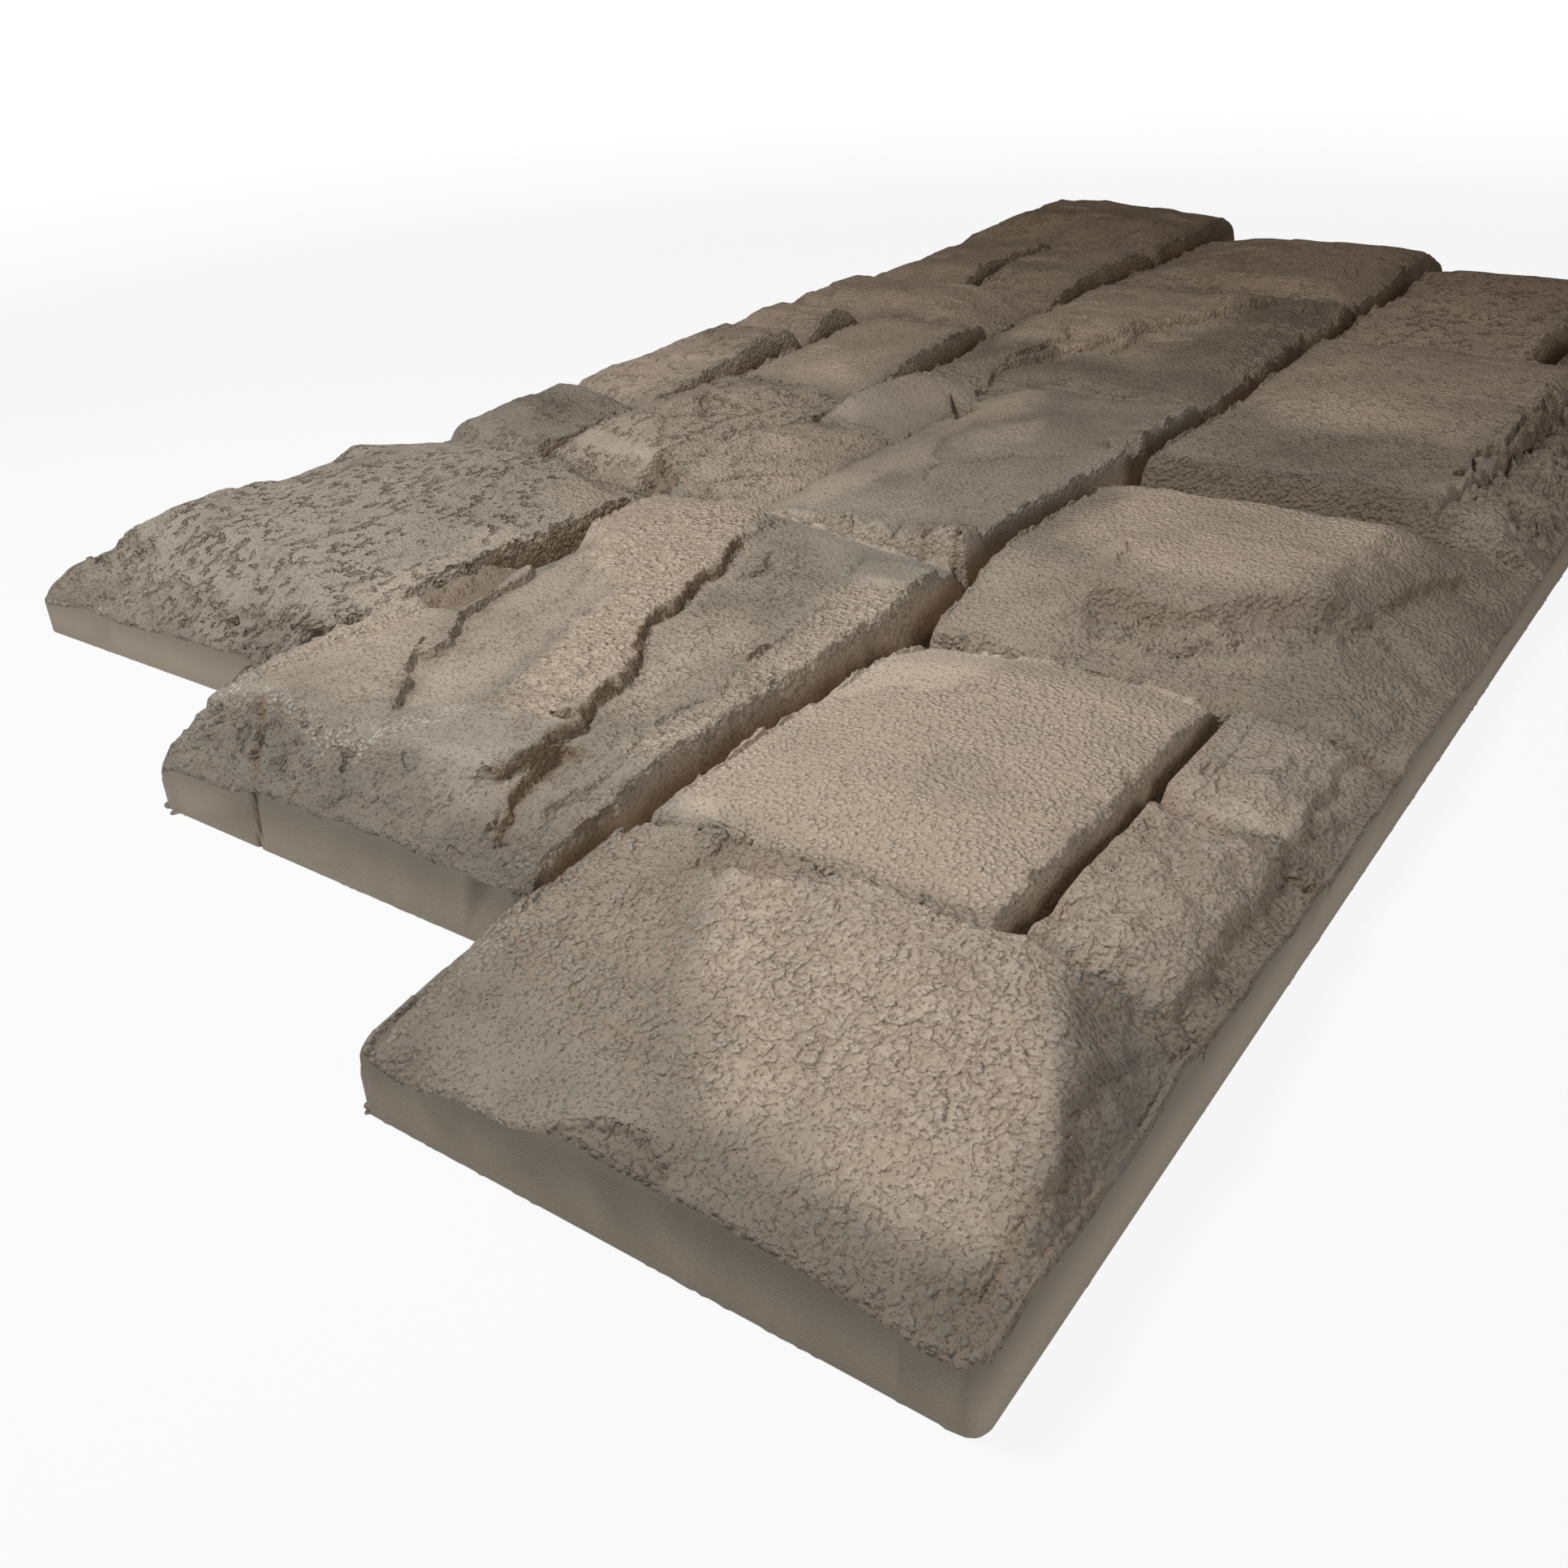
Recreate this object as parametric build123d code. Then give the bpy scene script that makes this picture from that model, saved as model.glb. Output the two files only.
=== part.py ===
from build123d import *
import os
from dataclasses import dataclass
from math import cos, radians, sin, tan

# Faux stone wall panel: one moulded sheet with three courses of split-faced stones on a plain backing.
# It lies face up on its flat back, with +X along the courses, +Y across them and +Z out of the face.
# The origin is at the middle of the back, under the box that holds the panel. Sizes are in millimetres.

# Driving dimensions of the moulding
PANEL_LENGTH = 1200.0  # over the stepped ends, from the first course's near end to the last one's far end
COURSE_HEIGHT = 200.0  # one course of stones, measured across the panel
COURSE_COUNT = 3
END_STEP = 76.0  # each course starts this much further along than the one below it
BACKING = 15.0  # plain sheet behind the stones, which shows as the smooth rim and the joint floors
PLAN_CORNER = 6.0  # radius of the rim's and the stones' corners, seen from the front
BED_JOINT = 7.0  # joint floor between courses and between the rows of a split bay
HEAD_JOINT = 26.0  # height above the back at which neighbours in one row run together
DRAFT = 8.0  # degrees, so that the stones leave the mould

# Bearings of a stone's faces and ledges, in degrees from +X
EAST, NORTH, WEST, SOUTH = 0, 90, 180, 270


@dataclass
class Stone:
    """One stone of the face. Its row is spread over the bay, so a stone alone in its row fills the bay."""

    crown: float  # height of its top above the panel's back
    length: float = COURSE_HEIGHT
    faces: tuple = ()  # pitched faces: (bearing, run in from the edge, drop at the edge)
    ledges: tuple = ()  # broken beds: (bearing, distance from the middle, depth below the crown)


@dataclass
class Bay:
    """A stretch of one course: one row of stones, or a lower and an upper row with a bed joint between."""

    length: float
    lower: tuple
    upper: tuple = ()
    bed: float = 0.0  # place of the bed joint's middle above the course's lower edge
    crease: float = BACKING  # where the rows run together above the backing: their height there


# First course, along the panel's lower edge, opening with a humped corner stone
LOWER_COURSE = (
    Bay(
        120,
        (
            Stone(
                49,
                faces=((WEST, 104, 24), (NORTH, 52, 13), (SOUTH, 27, 25), (302, 50, 22), (EAST, 10, 4)),
            ),
        ),
    ),
    Bay(
        182,
        lower=(
            Stone(37, 102, faces=((SOUTH, 30, 14), (EAST, 16, 6), (WEST, 18, 8))),
            Stone(34, 80, faces=((SOUTH, 34, 13), (20, 26, 7), (WEST, 14, 5))),
        ),
        upper=(
            Stone(
                42,
                faces=((SOUTH, 30, 4), (NORTH, 48, 6), (WEST, 40, 5), (135, 34, 8)),
                ledges=((66, 62, 3),),
            ),
        ),
        bed=61,
    ),
    Bay(
        208,
        (
            Stone(
                47,
                faces=((WEST, 84, 17), (SOUTH, 58, 27), (EAST, 50, 14), (236, 92, 22), (NORTH, 30, 5)),
            ),
        ),
    ),
    Bay(
        282,
        (
            Stone(
                50,
                faces=((WEST, 190, 8), (SOUTH, 46, 31), (248, 80, 24), (NORTH, 54, 8), (EAST, 60, 10)),
                ledges=((266, 58, 12),),
            ),
        ),
    ),
    Bay(
        256,
        lower=(
            Stone(36, 136, faces=((SOUTH, 30, 14), (WEST, 24, 8))),
            Stone(38, 120, faces=((SOUTH, 32, 16), (EAST, 26, 12))),
        ),
        upper=(Stone(45, faces=((EAST, 46, 18), (WEST, 110, 11), (NORTH, 32, 6), (SOUTH, 26, 6))),),
        bed=63,
    ),
)

# Second course, opening with a long stone broken into layers
MIDDLE_COURSE = (
    Bay(
        290,
        (
            Stone(
                46,
                faces=((177, 38, 26), (SOUTH, 40, 7), (NORTH, 42, 9), (EAST, 18, 5), (338, 64, 18)),
                ledges=((284, 24, 5), (274, 60, 9)),
            ),
        ),
    ),
    Bay(
        254,
        lower=(Stone(44, faces=((WEST, 60, 5), (SOUTH, 64, 7), (NORTH, 40, 10), (EAST, 34, 6))),),
        upper=(
            Stone(49, 146, faces=((WEST, 22, 9), (SOUTH, 62, 17), (EAST, 74, 15), (215, 60, 12))),
            Stone(42, 108, faces=((WEST, 34, 7), (SOUTH, 58, 11))),
        ),
        bed=132,
        crease=31,
    ),
    Bay(
        272,
        (
            Stone(
                47,
                faces=((SOUTH, 44, 12), (NORTH, 40, 12), (WEST, 42, 10), (EAST, 44, 9)),
                ledges=((246, 2, 6),),
            ),
        ),
    ),
    Bay(
        232,
        (
            Stone(
                46,
                faces=((EAST, 62, 22), (NORTH, 60, 14), (SOUTH, 34, 10), (WEST, 36, 9), (135, 84, 14)),
            ),
        ),
    ),
)

# Third course, along the panel's upper edge, with the smallest stones
UPPER_COURSE = (
    Bay(
        250,
        (
            Stone(
                46,
                faces=((176, 62, 30), (NORTH, 32, 21), (EAST, 36, 12), (SOUTH, 66, 11), (50, 78, 20)),
            ),
        ),
    ),
    Bay(
        346,
        lower=(
            Stone(43, 168, faces=((WEST, 60, 14), (EAST, 52, 8), (SOUTH, 62, 14), (NORTH, 26, 6))),
            Stone(41, 178, faces=((EAST, 30, 6), (WEST, 72, 12), (NORTH, 30, 6))),
        ),
        upper=(
            Stone(42, 106, faces=((WEST, 36, 15), (NORTH, 36, 20), (EAST, 16, 7), (SOUTH, 40, 11))),
            Stone(44, 164, faces=((NORTH, 38, 22), (EAST, 18, 7), (WEST, 110, 14))),
            Stone(42, 76, faces=((NORTH, 34, 20), (EAST, 24, 10), (WEST, 30, 10))),
        ),
        bed=104,
    ),
    Bay(94, (Stone(44, faces=((NORTH, 40, 21), (EAST, 22, 10), (WEST, 32, 10), (SOUTH, 60, 18))),)),
    Bay(
        180,
        lower=(Stone(42, faces=((WEST, 60, 10), (SOUTH, 12, 3), (EAST, 28, 5))),),
        upper=(Stone(41, faces=((NORTH, 44, 20), (WEST, 52, 12), (EAST, 18, 4))),),
        bed=88,
    ),
    Bay(
        178,
        (
            Stone(
                49,
                faces=((WEST, 60, 17), (NORTH, 48, 24), (EAST, 46, 23), (SOUTH, 46, 13), (45, 60, 20)),
            ),
        ),
    ),
)

# Sizes that follow from the driving dimensions
PANEL_HEIGHT = COURSE_HEIGHT * COURSE_COUNT
COURSE_LENGTH = PANEL_LENGTH - END_STEP * (COURSE_COUNT - 1)
CUTTER = 2 * (PANEL_LENGTH + PANEL_HEIGHT)  # side of the blocks that cut the faces, larger than any stone


def course_corner(course):
    """Near lower corner of a course, on the panel's back."""
    return -PANEL_LENGTH / 2 + course * END_STEP, -PANEL_HEIGHT / 2 + course * COURSE_HEIGHT


def backing():
    """The plain sheet: one strip for each course, set along by the end step, as one stepped outline."""
    strips = []
    for course in range(COURSE_COUNT):
        x, y = course_corner(course)
        middle = Pos(x + COURSE_LENGTH / 2, y + COURSE_HEIGHT / 2)
        strips.append(middle * Rectangle(COURSE_LENGTH, COURSE_HEIGHT))
    outline = Sketch() + strips
    outline = fillet(outline.vertices(), PLAN_CORNER)
    return extrude(outline, amount=BACKING)


def above(crest, bearing, run, drop):
    """All the space over a plane through the crest that falls by drop in run towards a bearing."""
    normal = Vector(drop * cos(radians(bearing)), drop * sin(radians(bearing)), run)
    return Plane(origin=crest, z_dir=normal) * Pos(0, 0, CUTTER / 2) * Box(CUTTER, CUTTER, CUTTER)


def stone_block(stone, west, east, south, north):
    """A drafted block on the given base, dressed by its pitched faces and broken ledges."""
    length, width = east - west, north - south
    middle = Vector((west + east) / 2, (south + north) / 2, BACKING)
    base = Pos(middle) * RectangleRounded(length, width, PLAN_CORNER)
    block = extrude(base, amount=stone.crown - BACKING, taper=DRAFT)
    top = Vector(middle.X, middle.Y, stone.crown)
    for bearing, run, drop in stone.faces:
        heading = Vector(cos(radians(bearing)), sin(radians(bearing)))
        edge = abs(heading.X) * length / 2 + abs(heading.Y) * width / 2
        block -= above(top + heading * (edge - run), bearing, run, drop)
    for bearing, distance, depth in stone.ledges:
        shelf = Pos(top) * Rot(0, 0, bearing) * Pos(distance + CUTTER / 2, 0, CUTTER / 2 - depth)
        block -= shelf * Box(CUTTER, CUTTER, CUTTER)
    return block


def spread(pieces, total):
    """Where each piece of a row starts and ends, with their lengths stretched to fill the total."""
    stretch = total / sum(piece.length for piece in pieces)
    ends = [0.0]
    for piece in pieces:
        ends.append(ends[-1] + piece.length * stretch)
    return zip(pieces, ends[:-1], ends[1:])


def lap(height):
    """How far two blocks reach past their joint's middle, so that their drafted walls meet at a height."""
    return (height - BACKING) * tan(radians(DRAFT))


def stone_row(row, bay_start, bay_end, south, north, course_start):
    """One row of stones in a bay, run together at the head joints and plain at the course's ends."""
    course_end = course_start + COURSE_LENGTH
    blocks = []
    for stone, start, end in spread(row, bay_end - bay_start):
        west = max(bay_start + start - lap(HEAD_JOINT), course_start)
        east = min(bay_start + end + lap(HEAD_JOINT), course_end)
        blocks.append(stone_block(stone, west, east, south, north))
    return blocks


def course_stones(course, bays):
    """All the stones of one course, bay by bay. The panel's own long edges have no joint."""
    course_start, lower_edge = course_corner(course)
    south = lower_edge + (0 if course == 0 else BED_JOINT / 2)
    north = lower_edge + COURSE_HEIGHT - (0 if course == COURSE_COUNT - 1 else BED_JOINT / 2)
    blocks = []
    for bay, start, end in spread(bays, COURSE_LENGTH):
        span = (course_start + start, course_start + end)
        if bay.upper:
            bed = lower_edge + bay.bed
            half_gap = -lap(bay.crease) if bay.crease > BACKING else BED_JOINT / 2
            blocks += stone_row(bay.lower, *span, south, bed - half_gap, course_start)
            blocks += stone_row(bay.upper, *span, bed + half_gap, north, course_start)
        else:
            blocks += stone_row(bay.lower, *span, south, north, course_start)
    return blocks


def stone_panel():
    """The whole moulding as one solid, grown stone by stone on its backing."""
    panel = backing()
    for course, bays in enumerate((LOWER_COURSE, MIDDLE_COURSE, UPPER_COURSE)):
        for block in course_stones(course, bays):
            panel += block
    return panel


os.makedirs("parts", exist_ok=True)
moulding = stone_panel()
moulding.label = "stone_panel"
export_step(moulding, "parts/stone_panel.step")
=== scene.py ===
import math

import bpy
import numpy as np
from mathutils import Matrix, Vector
from mathutils.bvhtree import BVHTree


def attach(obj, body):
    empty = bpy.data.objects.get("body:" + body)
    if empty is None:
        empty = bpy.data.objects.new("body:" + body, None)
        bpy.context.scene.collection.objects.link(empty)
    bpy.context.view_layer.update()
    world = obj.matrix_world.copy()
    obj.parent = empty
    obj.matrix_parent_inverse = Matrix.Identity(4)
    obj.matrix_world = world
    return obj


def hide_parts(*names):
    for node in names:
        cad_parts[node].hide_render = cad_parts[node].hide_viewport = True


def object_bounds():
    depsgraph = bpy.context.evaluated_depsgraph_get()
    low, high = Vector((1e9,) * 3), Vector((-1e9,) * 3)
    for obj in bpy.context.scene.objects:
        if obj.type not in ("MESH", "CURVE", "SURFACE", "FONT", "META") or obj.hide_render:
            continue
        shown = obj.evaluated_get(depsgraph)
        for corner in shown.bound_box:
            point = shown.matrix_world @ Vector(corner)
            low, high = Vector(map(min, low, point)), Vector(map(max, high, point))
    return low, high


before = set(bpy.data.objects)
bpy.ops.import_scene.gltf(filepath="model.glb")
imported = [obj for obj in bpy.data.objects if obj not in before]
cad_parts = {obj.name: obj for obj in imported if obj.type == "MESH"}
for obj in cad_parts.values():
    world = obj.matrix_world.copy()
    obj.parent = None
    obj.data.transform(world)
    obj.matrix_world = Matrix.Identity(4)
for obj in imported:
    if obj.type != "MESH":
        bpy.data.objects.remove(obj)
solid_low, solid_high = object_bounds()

# The panel: one sheet of rigid polyurethane foam, cast face down in a mould taken from split stones,
# so stones, joints and smooth rim are a single skin with a flat back. Its face is worked here as heights
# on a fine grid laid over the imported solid, in millimetres from the panel's near lower corner.
MILLIMETRE = 0.001
GRID = 1.0  # spacing of the heights, a whole share of the end step and of the course
END_STEP = 76.0
COURSES = 3
RIM = 15.0  # height of the joint floors
RIM_CORNER = 6.0
SHOULDER = 3.2  # the rim's outer faces stand straight up to the stones' height this far in
length = (solid_high.x - solid_low.x) / MILLIMETRE
width = (solid_high.y - solid_low.y) / MILLIMETRE
COURSE = width / COURSES
COURSE_LENGTH = length - END_STEP * (COURSES - 1)
along = np.arange(round(length / GRID) + 1) * GRID
across = np.arange(round(width / GRID) + 1) * GRID
A, B = np.meshgrid(along, across)


def ease(low, high, value):
    """0 at low, 1 at high and a smooth rise between them."""
    t = np.clip((value - low) / (high - low), 0, 1)
    return t * t * (3 - 2 * t)


def ripple(size, seed, stretch=1.0):
    """A smooth random field of about -2 to 2, with knots `size` apart, drawn out along the courses."""
    def weights(places, spacing, knots):
        cell = places / spacing
        first = np.floor(cell).astype(int)
        t = cell - first
        table = np.zeros((len(places), knots))
        spline = ((1 - t) ** 3, 3 * t**3 - 6 * t**2 + 4, -3 * t**3 + 3 * t**2 + 3 * t + 1, t**3)
        for offset, weight in enumerate(spline):
            table[np.arange(len(places)), first + offset] = weight / 6
        return table

    rows, columns = int(width / size) + 5, int(length / (size * stretch)) + 5
    knots = np.random.default_rng(seed).standard_normal((rows, columns))
    field = weights(across, size, rows) @ knots @ weights(along, size * stretch, columns).T
    return np.clip(field / field.std(), -2.2, 2.2)


def facets(size, seed):
    """Flat broken faces: each cell of a random tiling has a slope of its own. About -1 to 1."""
    rng = np.random.default_rng(seed)
    rows, columns = int(width / size) + 4, int(length / size) + 4
    shift = rng.uniform(0.1, 0.9, (rows, columns, 2))
    slope = rng.normal(0, 1, (rows, columns, 2))
    lift = rng.normal(0, 0.35, (rows, columns))
    row, column = (B / size).astype(int) + 1, (A / size).astype(int) + 1
    nearest = np.full(A.shape, np.inf)
    field = np.zeros(A.shape)
    for down in (-1, 0, 1):
        for over in (-1, 0, 1):
            r, c = row + down, column + over
            dx = A / size - (c - 1 + shift[r, c, 0])
            dy = B / size - (r - 1 + shift[r, c, 1])
            distance = dx * dx + dy * dy
            closer = distance < nearest
            nearest[closer] = distance[closer]
            field[closer] = (slope[r, c, 0] * dx + slope[r, c, 1] * dy + lift[r, c])[closer]
    return field


def blur(field, radius):
    """The field smoothed by a Gaussian of that radius, with its edges carried outwards."""
    pad = int(4 * radius / GRID) + 2
    wide = np.pad(field, pad, mode="edge")
    fy = np.fft.fftfreq(wide.shape[0], GRID)[:, None]
    fx = np.fft.rfftfreq(wide.shape[1], GRID)[None, :]
    spectrum = np.fft.rfft2(wide) * np.exp(-2 * (math.pi * radius) ** 2 * (fx**2 + fy**2))
    return np.fft.irfft2(spectrum, wide.shape)[pad:-pad, pad:-pad]


# Outline of the sheet, corner by corner: up the far end's steps, then down the near end's
far_steps = [(COURSE_LENGTH + k * END_STEP, (k + side) * COURSE) for k in range(COURSES) for side in (0, 1)]
near_steps = [(k * END_STEP, (k + side) * COURSE) for k in reversed(range(COURSES)) for side in (1, 0)]
outline = far_steps + near_steps
from_edge = np.full(A.shape, np.inf)
for (ax, ay), (bx, by) in zip(outline, outline[1:] + outline[:1]):
    gap_x = A - np.clip(A, min(ax, bx), max(ax, bx))
    gap_y = B - np.clip(B, min(ay, by), max(ay, by))
    from_edge = np.minimum(from_edge, np.hypot(gap_x, gap_y))
inside = np.zeros(A.shape, bool)
for k in range(COURSES):
    start = k * END_STEP
    inside |= (A > start - 0.1) & (A < start + COURSE_LENGTH + 0.1) & (B > k * COURSE - 0.1) & (
        B < (k + 1) * COURSE + 0.1)
inner = ease(0, 4, from_edge) * inside
chips = 0.7 * facets(9, 28) + 0.4 * ripple(4, 18)
ragged = 0.7 * ripple(15, 10) + 0.7 * ripple(6.5, 11) + chips

# The solid's stones, with their edges pulled about by a few millimetres as split stone is
calm = ease(0, 14, from_edge) * inside
stone_x = A + calm * (2.6 * ripple(64, 1) + 1.1 * ripple(19, 2) + 0.5 * ripple(7, 19))
stone_y = B + calm * (2.2 * ripple(70, 3) + 0.8 * ripple(21, 4) + 0.25 * ripple(7, 20))

# The layered stone's straight ledges are bent to the zigzag of its broken beds: the line, then the break
walls = []
for depth, last, (start, end), path in (
    (
        1.0, 322, ((76, 239), (366, 311)),
        [(76, 226), (92, 229), (98, 231), (110, 236), (122, 238), (133, 241), (143, 243), (149, 239),
         (157, 246), (166, 251), (192, 254), (203, 259), (212, 264), (224, 272), (232, 277), (254, 281),
         (268, 285), (282, 288), (296, 289), (310, 295), (366, 306)],
    ),
    (
        0.7, 264, ((76, 230), (366, 250)),
        [(76, 212), (146, 220), (166, 226), (190, 224), (204, 221), (219, 228), (254, 231), (285, 232),
         (314, 238), (366, 250)],
    ),
):
    straight = np.interp(along, (start[0], end[0]), (start[1], end[1]))
    broken = np.interp(along, *zip(*path))
    near = np.exp(-(((B - broken) / 12) ** 2)) * ((along > start[0]) & (along < end[0]))
    stone_y -= near * (broken - straight + chips)
    walls.append((broken, depth, last))

gap = np.where(inside, from_edge, -from_edge)
in_y, in_x = np.gradient(gap, GRID)
push = np.clip(SHOULDER - gap, 0, None) / np.maximum(np.hypot(in_x, in_y), 0.1)
places_x = (stone_x + push * in_x) * MILLIMETRE + solid_low.x
places_y = (stone_y + push * in_y) * MILLIMETRE + solid_low.y
panel_solid = BVHTree.FromObject(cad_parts["stone_panel"], bpy.context.evaluated_depsgraph_get())
down = Vector((0, 0, -1))
over = solid_high.z + 1
height = np.full(A.shape, RIM)
for spot in zip(*np.nonzero(gap > -10)):
    hit = panel_solid.ray_cast(Vector((places_x[spot], places_y[spot], over)), down)[0]
    if hit is not None:
        height[spot] = hit.z / MILLIMETRE
height = np.minimum(height, blur(height, 1.6) + 0.35)
worn = np.exp(-(((B - 252) / 40) ** 2)) * ease(140, 170, A) * ease(366, 350, A)
height += 0.25 * worn * (blur(height, 2.5) - height)
on_stone = ease(RIM + 2, RIM + 12, height)

# What the paint and the skin's grain need to know, each from 0 to 1
tan_wash = np.zeros(A.shape)
# Brown paint in the joints, cracks and hollows, and painted shade at the ledges' feet
umber_and_shade = np.zeros(A.shape)
chalk = np.zeros(A.shape)
pebbles = np.zeros(A.shape)
grit = np.zeros(A.shape)
pits = np.zeros(A.shape)
shade = np.zeros(A.shape)

# Each stone's place and skin: span along and across, swell and chisel of its face in millimetres,
# then how pebbled, gritty and pitted it is, and how light its grey, which is lower towards the far end
# partly as painted shade for the dimmer light there
STONES = (
    (0, 120, 0, 200, 1.1, 0.4, 0.7, 0.5, 0.0, 0.7),
    (120, 222, 0, 61, 2.2, 0.8, 0.6, 0.6, 0.2, 0.6),
    (222, 302, 0, 61, 1.0, 1.4, 0.2, 0.6, 0.2, 0.6),
    (120, 302, 61, 200, 0.8, 0.2, 0.15, 1.0, 0.0, 0.6),
    (302, 510, 0, 200, 1.2, 0.6, 0.2, 0.9, 0.1, 0.6),
    (510, 792, 0, 200, 1.1, 0.6, 0.2, 0.7, 0.3, 0.6),
    (792, 928, 0, 63, 1.4, 1.0, 0.3, 0.6, 0.3, 0.5),
    (928, 1048, 0, 63, 1.4, 1.0, 0.3, 0.6, 0.3, 0.5),
    (792, 1048, 63, 200, 1.2, 0.5, 0.1, 0.5, 0.7, 0.5),
    (76, 366, 200, 400, 0.9, 0.5, 0.2, 0.5, 0.2, 0.7),
    (366, 620, 200, 332, 0.6, 0.4, 0.0, 0.45, 0.1, 0.6),
    (366, 512, 332, 400, 1.0, 0.8, 0.2, 0.7, 0.4, 0.6),
    (512, 620, 332, 400, 0.8, 0.3, 0.0, 0.1, 0.0, 0.8),
    (620, 892, 200, 400, 1.4, 0.9, 0.0, 0.5, 0.2, 0.5),
    (892, 1124, 200, 400, 1.4, 0.9, 0.1, 0.6, 0.3, 0.4),
    (152, 402, 400, 600, 1.2, 0.5, 0.0, 0.5, 1.0, 1.0),
    (402, 570, 400, 504, 1.3, 0.6, 0.0, 0.7, 0.7, 1.0),
    (402, 508, 504, 600, 1.4, 0.8, 0.0, 0.5, 0.4, 0.6),
    (508, 672, 504, 600, 1.4, 0.8, 0.0, 0.5, 0.4, 0.6),
    (570, 748, 400, 504, 1.2, 0.7, 0.0, 0.5, 0.1, 0.6),
    (672, 748, 504, 600, 1.4, 0.8, 0.0, 0.5, 0.2, 0.5),
    (748, 842, 400, 600, 1.6, 0.9, 0.0, 0.5, 0.2, 0.5),
    (842, 1022, 400, 488, 1.3, 0.8, 0.0, 0.5, 0.3, 0.4),
    (842, 1022, 488, 600, 1.3, 0.8, 0.0, 0.4, 0.1, 0.4),
    (1022, 1200, 400, 600, 1.5, 1.0, 0.1, 0.5, 0.3, 0.3),
)
swells = 0.75 * ripple(46, 5) + 0.45 * ripple(17, 6)
chisels = blur(facets(34, 7), 1.2)
for west, east, south, north, swell, chisel, pebbled, gritty, pitted, light in STONES:
    here = (stone_x >= west) & (stone_x < east) & (stone_y >= south) & (stone_y < north)
    height += here * on_stone * calm * (0.6 * swell * swells + chisel * chisels)
    pebbles[here], grit[here], pits[here], shade[here] = pebbled, gritty, pitted, light
pebbles, grit, pits, shade = (blur(field, 4) for field in (pebbles, grit, pits, shade))
grit = np.maximum(grit, 0.8 * ease(520, 660, A))

# Sides where a stone's face runs out higher or lower than its plain block: the stone's span, then the
# lift at its near, far, lower and upper side, and how far in it reaches
for west, east, south, north, near_lift, far_lift, lower_lift, upper_lift, run in (
    (120, 302, 61, 200, 0, -8, 0, 0, 40),
    (366, 620, 200, 332, 0, 0, 6, 0, 56),
    (302, 510, 0, 200, 0, -4, 0, 0, 40),
    (510, 792, 0, 200, 3, 0, 0, 0, 70),
    (152, 402, 400, 600, 0, -4, 0, 0, 40),
):
    here = (stone_x >= west) & (stone_x < east) & (stone_y >= south) & (stone_y < north)
    height += here * on_stone * (
        near_lift * ease(run, 0, A - west) + far_lift * ease(run, 0, east - A)
        + lower_lift * ease(run, 0, B - south) + upper_lift * ease(run, 0, north - B))

# Broken edges and pitched faces are rougher than the tops
slope_y, slope_x = np.gradient(blur(height, 2.0), GRID)
slope = np.hypot(slope_x, slope_y)
steep = ease(0.3, 0.8, slope) * ease(2.4, 1.4, slope) * on_stone
knobs = np.clip(ripple(7, 29), -1.6, 0.9) + 0.3 * ripple(3.5, 30)
splinters = 0.8 * facets(11, 8) + 0.5 * facets(5, 31) + 0.7 * np.abs(ripple(9, 9, 1.4))
splinters = splinters + 0.35 * ripple(4.5, 17) - 0.5
height += 1.4 * steep * splinters * calm
crags = 0.8 * steep

# The near ends' smooth faces end where the stones' skin begins, this high at these places across
END_FACES = (((0, 24), (60, 28), (100, 31), (150, 29), (200, 23)), ((200, 33), (300, 29), (400, 25)),
             ((400, 32), (500, 25), (600, 19)))
for k, tops in enumerate(END_FACES):
    rows = (across >= k * COURSE) & (across <= (k + 1) * COURSE)
    start = k * END_STEP
    lift = np.interp(across[rows], *zip(*tops)) - blur(height, 3)[rows, round((start + 5) / GRID)]
    reach = np.exp(-((np.maximum(along - start, 0) / 24) ** 2)) * (along > start - 10)
    height[rows] += lift[:, None] * reach * on_stone[rows]


def beside(path, margin):
    """The window round a path, with how far each place lies to its right, and its way along from 0 to 1."""
    points = np.array(path, float)
    low = np.maximum((points.min(0) - margin) / GRID, 0).astype(int)
    high = ((points.max(0) + margin) / GRID).astype(int) + 2
    window = slice(low[1], high[1]), slice(low[0], high[0])
    x, y = A[window], B[window]
    nearest, right, way = np.full(x.shape, np.inf), np.zeros(x.shape), np.zeros(x.shape)
    spans = np.hypot(*np.diff(points, axis=0).T)
    walked = 0.0
    for (ax, ay), (bx, by), span in zip(points[:-1], points[1:], spans):
        ux, uy = (bx - ax) / span, (by - ay) / span
        t = np.clip((x - ax) * ux + (y - ay) * uy, 0, span)
        distance = np.hypot(x - ax - t * ux, y - ay - t * uy)
        closer = distance < nearest
        nearest[closer] = distance[closer]
        right[closer] = np.where((x - ax) * uy > (y - ay) * ux, distance, -distance)[closer]
        way[closer] = ((walked + t) / spans.sum())[closer]
        walked += span
    return window, right, way


def ledge(path, drop, reach, wall=1.6, jag=1.0, brown_and_shade=0.5):
    """A broken bed: the ground to the right of the path lies lower, and comes level again at the reach. A
    band at the wall's foot is painted dark brown, as brown wash and as painted shade under the step.
    """
    window, right, way = beside(path, reach + 12)
    right = right + jag * ragged[window]
    ends = ease(0, 0.1, way) * ease(1, 0.9, way)
    fall = ease(-wall / 2, wall / 2, right) * np.clip(1 - right / reach, 0, 1) * ends
    height[window] -= drop * fall * inner[window]
    # The band at the foot of the wall: brown wash, and painted shade under the step
    band = np.exp(-((right - 1.0) / 2.6) ** 2) * ends
    umber_and_shade[window] = np.maximum(umber_and_shade[window], brown_and_shade * band)


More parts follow.
